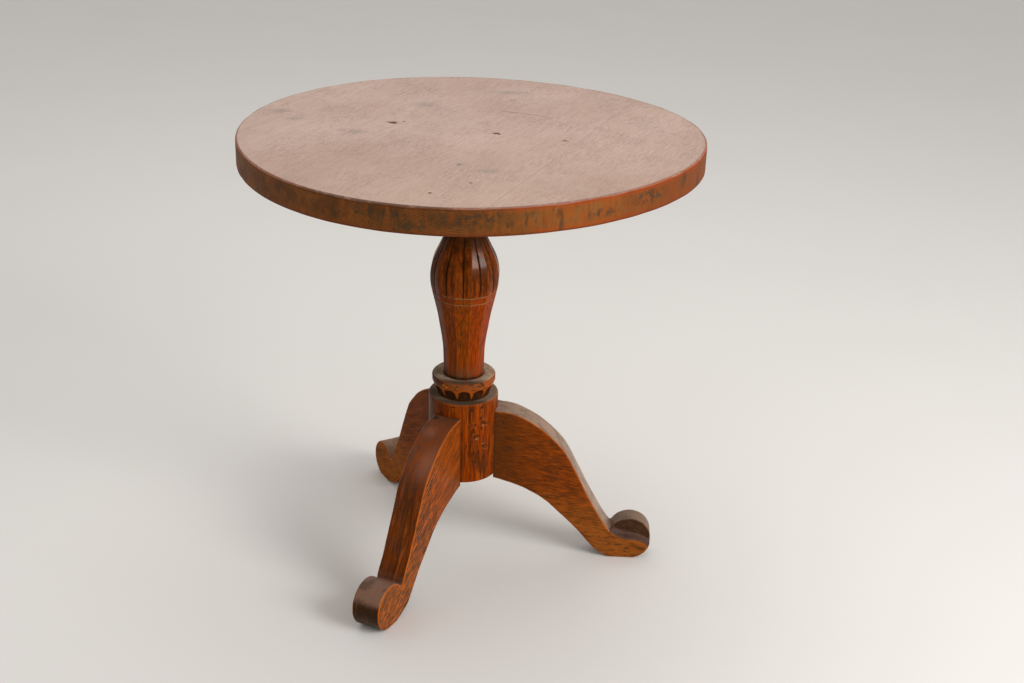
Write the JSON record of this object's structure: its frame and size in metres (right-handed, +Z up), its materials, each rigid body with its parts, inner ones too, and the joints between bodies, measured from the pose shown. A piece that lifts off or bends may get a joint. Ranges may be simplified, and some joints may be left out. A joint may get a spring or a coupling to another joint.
{
  "type": "side table",
  "caption": "Round wooden side table: thick two-board top on a faceted, carved pillar with tripod legs that end in upturned scroll feet.",
  "frame": {"origin": "on the floor below the middle of the round top", "axes": "+Z up out of the tabletop; +X runs out the way the right leg points, which is to the right in the picture; +Y away from the viewer"},
  "size_m": [0.602, 0.6019, 0.612],
  "materials": {
    "top_wood": "worn satin varnish with a pale sheen on pinkish brown hardwood",
    "pillar_wood": "semi-gloss orange-brown varnish, dark streaks in the grain",
    "leg_wood": "semi-gloss orange-brown varnish, worn along the arrises",
    "bearer_wood": "bare sawn hardwood",
    "peg_wood": "hardwood end grain, stained",
    "screw_steel": "dull zinc",
    "nail_iron": "dark rusted iron"
  },
  "bodies": {
    "root": {"top_board_wide": "top_wood", "top_board_narrow": "top_wood", "top_dowels": "peg_wood", "bearer": "bearer_wood", "bearer_screws": "screw_steel", "pillar": "pillar_wood", "tenon_wedge": "peg_wood", "leg_right": "leg_wood", "leg_front": "leg_wood", "leg_back": "leg_wood", "leg_pegs": "peg_wood", "leg_nail": "nail_iron"}
  },
  "joints": []
}
